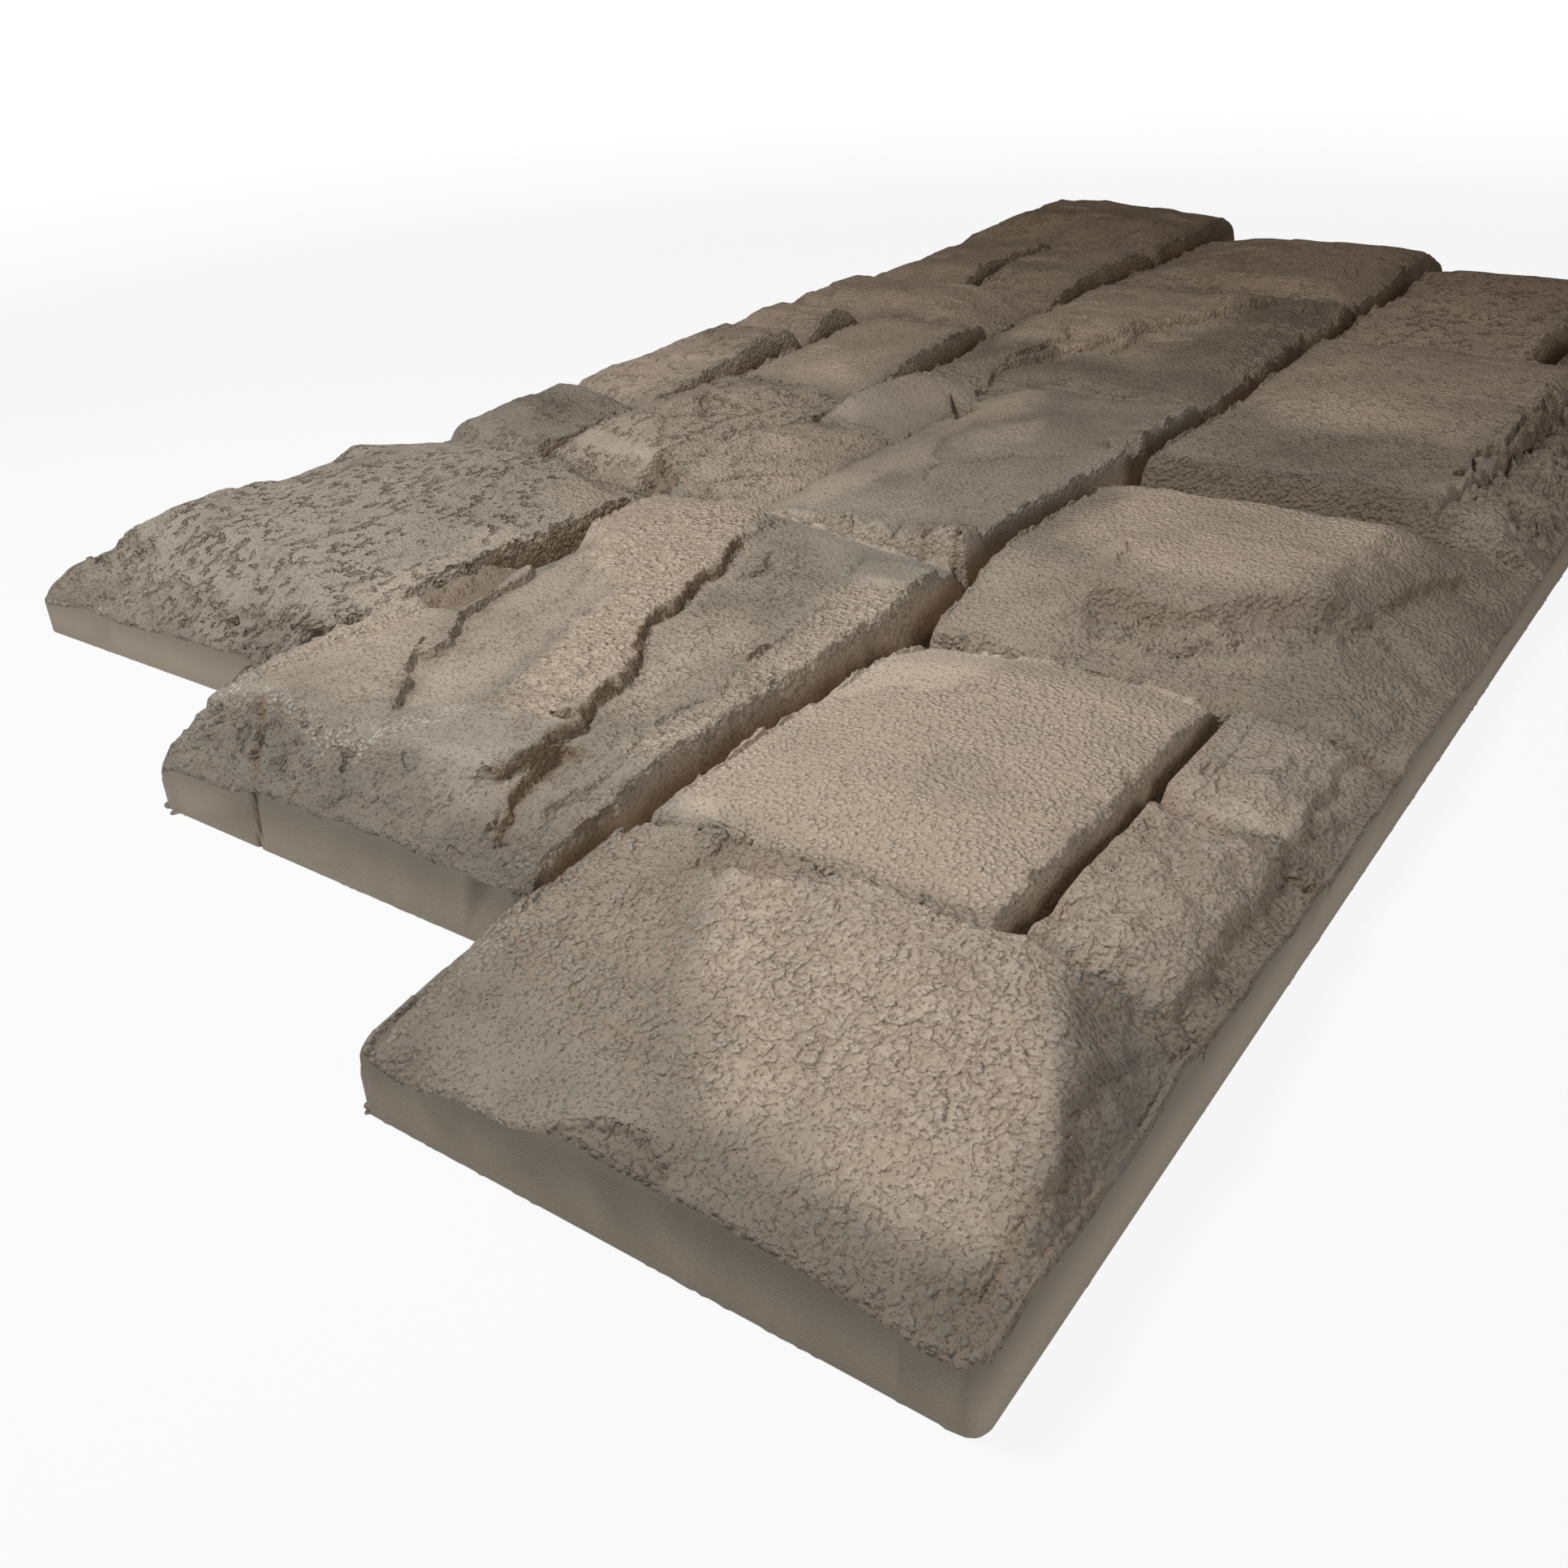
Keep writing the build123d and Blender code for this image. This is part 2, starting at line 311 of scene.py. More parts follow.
def crack(path, depth, breadth, jag=1.0, brown_and_shade=0.7):
    """A ragged groove along the path."""
    window, right, way = beside(path, 4 * breadth + 8)
    right = right + jag * ragged[window]
    ends = ease(0, 0.15, way) * ease(1, 0.85, way)
    groove = np.clip(1 - np.abs(right) / breadth, 0, 1) * ends
    height[window] -= depth * groove * inner[window]
    umber_and_shade[window] = np.maximum(umber_and_shade[window], brown_and_shade * groove)


def area(corners, edge=4.0, jag=1.0):
    """The window round a patch, and the patch: 1 within its corners, 0 outside, with a ragged edge."""
    window, side, way = beside(corners + corners[:1], edge + 12)
    x, y = A[window], B[window]
    odd = np.zeros(x.shape, bool)
    for (ax, ay), (bx, by) in zip(corners, corners[1:] + corners[:1]):
        if ay != by:
            odd ^= ((ay > y) != (by > y)) & (x < ax + (y - ay) * (bx - ax) / (by - ay))
    depth = np.where(odd, np.abs(side), -np.abs(side)) + jag * ragged[window]
    return window, ease(-edge / 2, edge / 2, depth)


def sink(corners, depth, edge=2.0, jag=1.0, brown_and_shade=0.0):
    """A chip or hollow with a ragged edge. A negative depth makes it stand proud."""
    window, patch = area(corners, edge, jag)
    height[window] -= depth * patch * inner[window]
    umber_and_shade[window] = np.maximum(umber_and_shade[window], brown_and_shade * patch)


def skin_of(corners, pebbled, gritty, pitted, edge=10.0):
    """The grain of one patch of a stone."""
    window, patch = area(corners, edge, 1.5)
    for field, value in ((pebbles, pebbled), (grit, gritty), (pits, pitted)):
        field[window] += patch * (value - field[window])


def wash(corners, strength, edge=26.0):
    """A patch of the tan wash, airbrushed with a soft edge."""
    window, patch = area(corners, edge, 1.5)
    tan_wash[window] += patch * (strength - tan_wash[window])


def darken(corners, amount, edge=22.0):
    """A patch where the grey is darker and the wash thinner, used both for darker paint and for painted
    shade. A negative amount makes it lighter.
    """
    window, patch = area(corners, edge, 1.5)
    shade[window] -= amount * patch
    tan_wash[window] *= 1 - np.clip(amount, 0, 1) * patch


def roughen(corners, amount, edge=8.0, form=splinters):
    """Splintered ground within the corners, or ground of another form."""
    window, patch = area(corners, edge)
    height[window] += amount * patch * form[window] * inner[window]
    crags[window] = np.maximum(crags[window], min(0.6 * amount, 1) * patch)


# First course: the humped corner stone with a chipped end, the knobbly small stones and the two broad ones
ledge([(122, 152), (98, 144), (60, 122), (40, 112), (22, 98)], 4.0, 70, wall=12, jag=1.4, brown_and_shade=0.0)
sink([(40, 196), (30, 150), (26, 128), (60, 134), (96, 152), (122, 160), (122, 188), (70, 190)], 2.0,
     edge=14, jag=2.0)
sink([(100, 128), (100, 156), (112, 158), (122, 156), (122, 112), (114, 110)], 3.0, edge=6, brown_and_shade=0.3)
sink([(-4, 86), (6, 92), (11, 102), (10, 114), (5, 124), (-4, 130)], 4.0, edge=3)
# Painted shade in the chip at the near end
darken([(-4, 86), (6, 92), (11, 102), (10, 114), (5, 124), (-4, 130)], 0.6, edge=3)
sink([(84, 2), (92, 22), (104, 26), (116, 18), (118, 2)], 4.0, edge=9, jag=0.6)
crack([(10, 10), (34, 11), (62, 9)], 2.0, 2.4, brown_and_shade=0.5)
skin_of([(4, 8), (10, 80), (22, 98), (60, 122), (98, 144), (122, 152), (122, 44), (90, 30), (56, 16)],
        1.0, 0.5, 0.0)
skin_of([(50, 190), (34, 150), (24, 112), (60, 126), (96, 148), (122, 156), (122, 194)], 0.55, 1.0, 0.2)
skin_of([(-4, 80), (-4, 206), (48, 206), (34, 150), (20, 104)], 0.1, 0.6, 0.15)
skin_of([(-4, 4), (4, 84), (22, 98), (40, 90), (44, 14)], 0.65, 0.5, 0.1, edge=20)
wash([(22, 8), (26, 90), (60, 122), (98, 144), (124, 152), (124, 44), (90, 30), (56, 14)], 0.95,
     edge=22)
wash([(64, 144), (60, 186), (124, 190), (124, 160)], 0.4)
# Painted shade on the near end's bevels
darken([(-6, -6), (-6, 90), (6, 104), (20, 100), (16, 40), (22, 4)], 0.4)
darken([(-6, 110), (-6, 206), (46, 206), (24, 120)], 0.3)
# Painted shade on the lower flank
darken([(24, -4), (58, 13), (88, 25), (118, 36), (124, -6)], 0.8, edge=5)
roughen([(36, 2), (60, 16), (90, 28), (118, 38), (118, 22), (70, 4)], 0.9, 4, knobs)
skin_of([(58, -4), (66, 5), (104, 18), (112, -4)], 0.0, 0.1, 0.0, edge=3)
darken([(102, 112), (100, 154), (120, 156), (120, 100), (112, 104)], 0.3, edge=5)
sink([(206, 206), (207, 190), (226, 186), (230, 174), (240, 170), (238, 152), (252, 140), (306, 150),
      (306, 206)], 2.0)
skin_of([(200, 206), (205, 190), (226, 186), (238, 170), (240, 152), (306, 140), (306, 206)], 0.1, 0.35,
        0.0)
sink([(122, 176), (128, 192), (120, 204), (112, 190)], 3.0, edge=3)
roughen([(118, 66), (116, 170), (126, 172), (130, 66)], 1.8)
wash([(126, 66), (130, 160), (140, 200), (306, 200), (300, 66)], 1.0)
skin_of([(116, 168), (118, 206), (140, 206), (142, 184), (130, 164)], 0.1, 0.2, 0.0)
crest = np.where((A > 124) & (A < 296) & (B > 24) & (B < 58.5), 35.0 - 0.13 * (58 - B), 0)
height = np.maximum(height, crest)
roughen([(122, 12), (124, 60), (214, 60), (218, 12)], 1.3, 6, knobs)
ledge([(118, 10), (140, 12), (176, 13), (206, 11), (224, 14)], 4.0, 30, wall=4, brown_and_shade=0.2)
ledge([(222, 18), (240, 14), (262, 20), (300, 14)], 4.0, 30, wall=4, brown_and_shade=0.2)
crack([(223, 74), (220, 44), (214, 22), (216, -10)], 6.0, 6.0, brown_and_shade=0.6)
crack([(120, 74), (123, 40), (128, -10)], 4.0, 5.0, brown_and_shade=0.5)
crack([(302, 74), (300, 40), (298, -10)], 4.0, 5.0, brown_and_shade=0.5)
roughen([(214, 4), (216, 22), (256, 18), (262, 4)], 1.4, 4)
sink([(232, 52), (254, 55), (256, 48), (236, 44)], -1.4, edge=2, jag=0.7)
sink([(230, 38), (250, 40), (256, 30), (244, 22), (232, 26)], -1.8, edge=2, jag=0.7)
crack([(240, 50), (246, 51), (254, 53)], 2.0, 1.8, jag=0.5)
wash([(222, 14), (222, 58), (256, 58), (252, 16)], 0.8, edge=6)
wash([(254, 14), (258, 56), (296, 56), (290, 14)], 0.45)
wash([(126, 12), (130, 60), (216, 60), (212, 14)], 0.6, edge=10)
darken([(122, -6), (122, 14), (216, 14), (300, 12), (300, -6)], 0.35, edge=12)
crack([(301, 58), (303, 100), (302, 150), (303, 206)], 7.0, 4.5, brown_and_shade=0.7)
sink([(352, 142), (357, 122), (355, 104), (366, 74), (382, 50), (420, 60), (420, 140), (390, 150)],
     -3.0, edge=9)
ledge([(350, 150), (357, 122), (352, 108), (358, 92), (366, 76), (376, 60), (384, 46), (400, 38)], 6.5,
      60, wall=3, jag=1.6, brown_and_shade=0.2)
roughen([(328, 150), (326, 100), (340, 60), (372, 30), (394, 36), (366, 76), (354, 104), (356, 146)],
        1.5, 6)
wash([(310, 60), (312, 196), (372, 196), (360, 60)], 0.4)
crack([(370, 138), (378, 142), (384, 140), (392, 142)], 1.8, 2.4, brown_and_shade=0.4)
skin_of([(306, 60), (306, 140), (370, 140), (380, 60)], 0.3, 0.9, 0.2)
ledge([(396, 42), (430, 38), (474, 22)], 3.0, 24)
wash([(376, 70), (366, 130), (390, 176), (500, 180), (506, 90), (470, 52), (410, 54)], 0.85)
ledge([(514, 212), (511, 180), (514, 140), (510, 100), (516, 60), (520, 20)], 6.0, 44, wall=3, jag=0.8,
      brown_and_shade=0.15)
darken([(502, 204), (504, 40), (520, 40), (518, 204)], 0.7, edge=5)
ledge([(548, 52), (600, 50), (640, 46), (676, 40), (706, 34)], 5.0, 44, jag=2.2, brown_and_shade=0.3)
roughen([(530, 4), (540, 52), (710, 50), (720, 4)], 2.0)
wash([(600, 60), (590, 150), (640, 190), (786, 190), (790, 40), (700, 44)], 0.75)
wash([(800, 70), (806, 196), (1040, 196), (1044, 70)], 0.7)

# Second course: the layered stone, the smooth one with its arched bed, and the grey one with two low scarps
skin_of([(128, 254), (126, 282), (177, 294), (234, 307), (256, 316), (264, 334), (286, 350), (306, 372),
         (330, 398), (356, 396), (364, 350), (360, 306), (310, 296), (254, 282), (232, 278), (212, 265),
         (166, 252)], 1.0, 0.6, 0.2, edge=5)
skin_of([(136, 288), (177, 296), (234, 309), (254, 318), (262, 336), (290, 356), (322, 398), (262, 398),
         (258, 370), (200, 356), (176, 336), (136, 318)], 0.0, 0.6, 0.2, edge=4)
darken([(136, 288), (136, 318), (200, 356), (258, 368), (300, 390), (286, 350), (254, 318)], 0.12, edge=6)
skin_of([(150, 203), (150, 222), (310, 236), (326, 204)], 0.7, 0.8, 0.3)
skin_of([(160, 228), (160, 250), (240, 276), (330, 296), (336, 270), (312, 240)], 0.4, 0.7, 0.3)
skin_of([(316, 242), (346, 284), (370, 300), (370, 204), (336, 206), (322, 224)], 0.0, 0.15, 0.0,
        edge=5)
skin_of([(86, 244), (92, 284), (134, 292), (142, 262), (108, 248)], 0.0, 0.2, 0.1)
ledge([(116, 306), (135, 319), (146, 327), (150, 334), (162, 341), (165, 333), (176, 335), (182, 341),
       (188, 344), (200, 355), (222, 358), (250, 362), (266, 374)], 4.2, 60, jag=0.7, brown_and_shade=0.35)
crack([(198, 356), (204, 368), (209, 380), (228, 388)], 2.2, 2.2, jag=0.6, brown_and_shade=0.5)
crack([(214, 374), (232, 376), (244, 392)], 1.6, 2.0, jag=0.6, brown_and_shade=0.5)
sink([(202, 358), (206, 396), (254, 398), (260, 372), (236, 364)], 2.2, jag=0.6, brown_and_shade=0.6)
sink([(262, 366), (256, 404), (320, 404), (312, 380), (290, 362)], 11.0, edge=16, jag=0.5)
ledge([(306, 368), (278, 346), (258, 338), (234, 330), (206, 326)], 2.2, 26, jag=0.7, brown_and_shade=0.3)
ledge([(264, 334), (256, 316), (234, 307), (194, 299), (177, 294), (140, 286)], 2.0, 30, wall=3,
      jag=0.7, brown_and_shade=0.0)
sink([(120, 203), (146, 221), (166, 226), (190, 224), (204, 221), (219, 228), (254, 231), (285, 233),
      (314, 239), (345, 246), (345, 206)], -3.4, edge=2.5, jag=0.4)
faint = np.exp(-(((B - walls[1][0]) / 8) ** 2)) * (1 - 0.5 * ease(146, 156, A) * ease(220, 210, A))
faint = faint * (A > 84) * (A < 366)
faint *= 1 - ease(220, 228, A) * ease(270, 262, A)
height += 0.9 * faint * (blur(height, 5) - height)
faint = np.exp(-(((B - walls[0][0]) / 11) ** 2)) * ease(316, 332, A) * (A < 366)
height += 0.9 * faint * (blur(height, 7) - height)
ledge([(84, 225), (98, 230), (110, 235), (122, 237), (138, 242)], 4.5, 34, wall=2, jag=0.5, brown_and_shade=0.6)
skin_of([(112, 322), (118, 392), (200, 392), (196, 358), (150, 336)], 0.35, 0.8, 0.2)
skin_of([(70, 203), (70, 402), (102, 402), (98, 300), (92, 250), (90, 203)], 0.0, 0.25, 0.2)
sink([(112, 384), (118, 408), (262, 408), (254, 384), (200, 380)], -4.0, edge=9)
sink([(104, 395), (104, 405), (262, 405), (262, 395)], -9.0, edge=5, jag=0.5)
crack([(292, 279), (308, 278), (326, 284)], 2.4, 2.4, brown_and_shade=0.5)
sink([(288, 284), (304, 284), (330, 290), (326, 280), (300, 276)], -1.2, edge=3)
crack([(78, 337), (92, 352), (106, 361)], 2.4, 2.0, jag=0.5, brown_and_shade=0.9)
roughen([(70, 300), (70, 402), (112, 402), (104, 320), (98, 300)], 1.1, 6)
roughen([(70, 203), (70, 300), (96, 300), (92, 203)], 0.5, 6)
wash([(134, 288), (130, 316), (176, 336), (200, 356), (262, 370), (300, 390), (300, 350), (262, 322)],
     0.35, edge=10)
wash([(140, 250), (142, 282), (234, 307), (256, 316), (264, 336), (320, 398), (358, 396), (364, 320),
      (310, 296), (232, 278), (192, 255)], 1.0, edge=9)
wash([(120, 320), (126, 396), (260, 396), (196, 356)], 0.5)
wash([(150, 204), (150, 222), (214, 224), (320, 236), (326, 204)], 0.75, edge=12)
wash([(170, 234), (176, 250), (244, 276), (270, 264), (250, 236)], 0.6)
# Painted shade on the near end's bevel
darken([(70, 200), (70, 404), (104, 404), (100, 330), (104, 280), (92, 240), (96, 200)], 0.6, edge=14)
darken([(264, 236), (262, 272), (330, 284), (340, 240)], 0.25)
darken([(200, 358), (204, 400), (256, 400), (262, 372), (236, 364)], 0.4, edge=6)
ledge([(460, 280), (476, 290), (494, 299), (514, 302), (530, 298), (546, 286), (562, 276)], 1.5, 22,
      wall=3, brown_and_shade=0.25)
crack([(432, 268), (452, 278), (466, 276)], 1.4, 2.2, brown_and_shade=0.5)
crack([(462, 270), (478, 262), (494, 256), (498, 246), (502, 234), (510, 222)], 1.5, 2.2, brown_and_shade=0.5)
crack([(410, 238), (428, 232), (446, 230)], 1.0, 1.6, brown_and_shade=0.4)
crack([(428, 292), (440, 300), (446, 306)], 1.0, 1.6, brown_and_shade=0.3)
sink([(524, 200), (528, 220), (538, 222), (544, 212), (546, 200)], 5.0, edge=4)
roughen([(366, 206), (364, 300), (380, 300), (394, 206)], 2.2)
crack([(362, 214), (374, 220), (384, 220)], 3.0, 3.0, brown_and_shade=0.6)
crack([(362, 234), (374, 238), (384, 242)], 3.0, 3.0, brown_and_shade=0.6)
wash([(362, 204), (362, 320), (380, 320), (384, 204)], 0.7, edge=8)
roughen([(540, 203), (544, 218), (616, 220), (616, 203)], 0.8)
sink([(548, 318), (600, 352), (586, 330), (572, 316)], 7.0, edge=3, jag=0.5, brown_and_shade=0.5)
wash([(520, 338), (520, 396), (612, 396), (612, 340)], 0.3)
sink([(364, 352), (366, 402), (390, 402), (384, 360)], 8.0, edge=5)
crack([(380, 372), (412, 356), (436, 340)], 1.5, 2.0)
wash([(376, 330), (390, 396), (500, 396), (508, 340)], 0.65, edge=14)
wash([(384, 304), (384, 330), (606, 326), (606, 290), (562, 278), (546, 288), (530, 300), (500, 302),
      (462, 282)], 0.5, edge=10)
wash([(478, 268), (496, 290), (536, 288), (552, 266), (520, 256)], 0.4, edge=12)
wash([(384, 220), (384, 290), (460, 270), (500, 220)], 0.12)
ledge([(604, 344), (640, 346), (680, 340), (712, 332), (732, 338)], 4.0, 44, jag=1.6, brown_and_shade=0.3)
ledge([(698, 304), (730, 298), (760, 302)], 2.6, 30, brown_and_shade=0.3)
roughen([(700, 206), (720, 244), (890, 240), (890, 206)], 1.1)
wash([(700, 270), (690, 360), (740, 396), (888, 390), (880, 260)], 0.85)
ledge([(1030, 344), (980, 312), (936, 288)], 3.0, 60, wall=5, brown_and_shade=0.2)
wash([(900, 210), (900, 390), (1110, 390), (1116, 210)], 0.75)

# Third course: the pitted end stone with its stepped shoulder
ledge([(196, 604), (196, 580), (190, 556), (168, 536)], 6.0, 36, wall=3, brown_and_shade=0.2)
sink([(194, 604), (194, 556), (220, 540), (246, 560), (250, 604)], -3.0, edge=14)
sink([(262, 604), (270, 560), (296, 545), (322, 560), (326, 604)], 5.0, edge=18)
sink([(356, 604), (352, 560), (380, 500), (404, 500), (404, 604)], 4.0, edge=20)
skin_of([(330, 536), (352, 570), (392, 560), (392, 490)], 0.0, 0.4, 0.1, edge=6)
skin_of([(328, 404), (334, 436), (384, 440), (388, 404)], 0.6, 0.9, 0.0, edge=8)
wash([(328, 404), (334, 436), (384, 440), (388, 404)], 0.4, edge=12)
wash([(200, 410), (200, 426), (300, 424), (300, 408)], 0.4, edge=12)
# Painted shade on the near end's bevel
darken([(146, 396), (146, 604), (186, 604), (176, 530), (180, 396)], 0.45, edge=9)
for joint in (402, 508, 672, 748, 842, 1022):
    sink([(joint - 6, 508), (joint - 11, 560), (joint - 22, 616), (joint + 22, 616), (joint + 11, 560),
          (joint + 6, 508)], 9.0, edge=15, jag=0.7)
sink([(366, 392), (372, 436), (392, 476), (412, 480), (414, 392)], 9.0, edge=22, jag=0.6)
crack([(402, 396), (400, 430), (403, 460), (402, 520)], 8.0, 5.0, jag=0.7, brown_and_shade=0.8)
sink([(390, 432), (396, 396), (412, 400), (430, 434)], 12.0, edge=8, jag=0.5, brown_and_shade=0.6)
skin_of([(398, 388), (428, 440), (446, 520), (424, 520), (420, 440), (404, 400)], 0.0, 0.1, 0.0, edge=5)
roughen([(182, 404), (178, 500), (184, 560), (204, 604), (146, 604), (146, 404)], 1.6, 6)
skin_of([(146, 400), (158, 500), (176, 540), (206, 606), (146, 606)], 0.0, 0.6, 0.3)
crack([(430, 440), (470, 462), (520, 470)], 1.5, 2.4, brown_and_shade=0.4)
ledge([(486, 452), (502, 466), (520, 470)], 3.0, 30, brown_and_shade=0.4)
wash([(516, 510), (520, 590), (740, 590), (740, 510)], 0.75)
wash([(412, 410), (412, 496), (560, 496), (564, 410)], 0.45)
wash([(590, 410), (586, 496), (744, 496), (740, 410)], 0.7)
wash([(756, 410), (752, 590), (1190, 590), (1190, 410)], 0.65)

# The rim's upper edge wavers where the skin runs out onto it
waver = 1.6 * ripple(40, 12) + 1.0 * ripple(13, 13) + 0.5 * ripple(5, 23)
height += inside * waver * np.exp(-((from_edge / 7) ** 2))
height -= 3.0 * (1 - np.sqrt(1 - np.clip(1 - from_edge / 5.0, 0, 1) ** 2))
height = np.clip(height, RIM - 3, 51.5)

# Brown lies in the joints and hollows and on their walls, with painted shade at the ledges' feet and on the
# layered stone's walls, and white is dragged over the ridges
shape = blur(height, 3.0)
sunk = ease(0.8, 5.0, blur(height, 11) - shape)
proud = ease(0.5, 2.6, shape - blur(height, 9))
floor_brown = 1 - ease(RIM + 0.5, RIM + 4, height)
lean_y, lean_x = np.gradient(height, GRID)
tilt = np.sqrt(1 + lean_x**2 + lean_y**2)
over_y, over_x = blur(np.abs(lean_y), 2.0), blur(np.abs(lean_x), 2.0)
in_bed = ease(0.5, 0.75, over_y / (over_x + over_y + 0.05))
earth = np.clip(in_bed * ease(1.6, 3.2, blur(tilt, 1.5)) + 0.12 * sunk, 0, 1) * ease(4, 10, from_edge) * (
    1 - ease(RIM + 14, RIM + 24, height))
# The layered stone's walls are painted dark umber: brown paint, darkened as painted shade on these
# south-facing walls
for broken, depth, last in walls:
    beneath = np.exp(-(((B - broken) / 13) ** 4)) * ease(84, 96, A) * ease(last + 8, last - 8, A)
    umber_and_shade = np.maximum(umber_and_shade, depth * beneath * ease(0.5, 1.2, np.hypot(lean_x, lean_y)))
# Painted shade for the dimmer light towards the far end, with a browner tint, growing along the panel
far_shade_and_tint = np.clip((A - 300) / 850, 0, 1)
umber_and_shade = np.maximum(umber_and_shade, 0.45 * earth * (ease(394, 400, B) + ease(72, 66, B)))
umber_and_shade = np.clip(np.maximum(umber_and_shade, floor_brown * ease(10, 30, from_edge)), 0, 1)
shade = np.clip(shade + 0.16 * ripple(26, 24) + 0.1 * ripple(9, 25), 0, 1)
tan_wash = np.clip(tan_wash * (1 + 0.14 * ripple(22, 26) + 0.1 * ripple(8, 27)), 0, 1)
chalk = np.maximum(0.12 * proud, chalk)
for path in ([(110, 392), (107, 360), (101, 322), (104, 302), (117, 293), (138, 284)],
             [(152, 552), (170, 548), (182, 536)]):
    window, right, way = beside(path, 24)
    chalk[window] = np.maximum(chalk[window], 0.45 * np.exp(-(((right + 3 * ragged[window]) / 4) ** 2)))

# The skin as one closed mesh: the face, the rim down to the floor with its thin ragged flash, and the back
number = np.full(A.shape, -1)
number[inside] = np.arange(inside.sum())
centre_x, centre_y = A[:-1, :-1] + GRID / 2, B[:-1, :-1] + GRID / 2
whole = np.zeros(centre_x.shape, bool)
for k in range(COURSES):
    start = k * END_STEP
    whole |= (centre_x > start) & (centre_x < start + COURSE_LENGTH) & (centre_y > k * COURSE) & (
        centre_y < (k + 1) * COURSE)
face_quads = np.stack(
    [number[:-1, :-1][whole], number[:-1, 1:][whole], number[1:, 1:][whole], number[1:, :-1][whole]], 1)
bulge = calm * on_stone * (0.3 * ripple(8, 14) + 0.15 * ripple(4.5, 15)) * (0.2 + 0.9 * steep)
skin_x, skin_y, skin_z = A - bulge * lean_x / tilt, B - bulge * lean_y / tilt, height + bulge / tilt
for index, (x, y) in enumerate(outline):
    before, after = np.array(outline[index - 1]), np.array(outline[(index + 1) % len(outline)])
    into, out = np.array((x, y)) - before, after - np.array((x, y))
    if into[0] * out[1] - into[1] * out[0] < 0:
        continue
    to_x, to_y = np.sign(into - out)
    u, v = to_x * (A - x) + RIM_CORNER, to_y * (B - y) + RIM_CORNER
    corner = (u > 0) & (v > 0) & (u < RIM_CORNER + 0.1) & (v < RIM_CORNER + 0.1)
    skin_x[corner] += to_x * (u * np.sqrt(1 - v**2 / (2 * RIM_CORNER**2)) - u)[corner]
    skin_y[corner] += to_y * (v * np.sqrt(1 - u**2 / (2 * RIM_CORNER**2)) - v)[corner]
face = np.stack([skin_x[inside], skin_y[inside], skin_z[inside]], 1)

loop = []
for (ax, ay), (bx, by) in zip(outline, outline[1:] + outline[:1]):
    count = round(math.hypot(bx - ax, by - ay) / GRID)
    for step in range(count):
        row = round((ay + (by - ay) * step / count) / GRID)
        column = round((ax + (bx - ax) * step / count) / GRID)
        loop.append((row, column))
loop = np.array(loop)
edge = number[loop[:, 0], loop[:, 1]]
ahead, behind = np.roll(face[edge], -1, 0), np.roll(face[edge], 1, 0)
outward = np.stack([ahead[:, 1] - behind[:, 1], behind[:, 0] - ahead[:, 0]], 1)
outward /= np.linalg.norm(outward, axis=1, keepdims=True)
rng = np.random.default_rng(16)
once = slice(len(loop), 2 * len(loop))
burr = np.convolve(np.tile(rng.standard_normal(len(loop)), 3), np.hanning(5), "same")[once]
patch = np.convolve(np.tile(rng.standard_normal(len(loop)), 3), np.hanning(41), "same")[once]
edge_x, edge_y = face[edge, 0], face[edge, 1]
torn = np.exp(-(np.hypot(edge_x - END_STEP, edge_y - 2 * COURSE) / 22) ** 2)
torn = np.maximum(torn, 0.7 * np.exp(-(np.hypot(edge_x, edge_y - COURSE) / 9) ** 2))
flash = (0.3 + 3.0 * torn) * ease(0.8 - torn, 2.6, burr / burr.std() + 0.8 * patch / patch.std())
CRACK = (336.0, 341.0)  # where the layered stone's end face is cracked: across, at its top and at its foot
rings = [edge]
points = [face]
made = len(face)
crack_depth = [np.zeros(len(face))]
for level, reach in ((0.97, 0.0), (0.7, 0.0), (0.4, 0.0), (0.12, 0.1), (0.06, 1.0), (0.0, 1.0)):
    ring = np.empty((len(loop), 3))
    at_crack = CRACK[1] + (CRACK[0] - CRACK[1]) * level + 0.9 * math.sin(9 * level)
    open_here = np.clip(1 - np.abs(edge_y - at_crack) / 1.3, 0, 1) * (np.abs(edge_x - END_STEP) < 1)
    ring[:, :2] = face[edge, :2] + outward * (flash * reach - 1.5 * open_here)[:, None]
    ring[:, 2] = face[edge, 2] * level
    points.append(ring)
    crack_depth.append(open_here)
    rings.append(np.arange(made, made + len(loop)))
    made += len(loop)
rim_quads = np.concatenate([
    np.stack([upper, lower, np.roll(lower, -1), np.roll(upper, -1)], 1)
    for upper, lower in zip(rings, rings[1:])])
vertices = np.concatenate(points) * MILLIMETRE + np.array((solid_low.x, solid_low.y, 0.0))
mesh = bpy.data.meshes.new("stone_panel_skin")
back = rings[-1][::-1].tolist()
mesh.from_pydata(vertices.tolist(), [], face_quads.tolist() + rim_quads.tolist() + [back])
skin = bpy.data.objects.new("stone_panel_skin", mesh)
bpy.context.scene.collection.objects.link(skin)
TRIANGLES = 196000
thin = skin.modifiers.new("thin", "DECIMATE")
thin.ratio = TRIANGLES / (2 * (len(face_quads) + len(rim_quads)) + len(loop))
thin.use_collapse_triangulate = True
skin.data = bpy.data.meshes.new_from_object(skin.evaluated_get(bpy.context.evaluated_depsgraph_get()))
skin.modifiers.clear()
mesh = skin.data
mesh.name = "stone_panel_skin"
mesh.shade_smooth()
SHARP_FROM = 42
mesh.set_sharp_from_angle(angle=math.radians(SHARP_FROM))

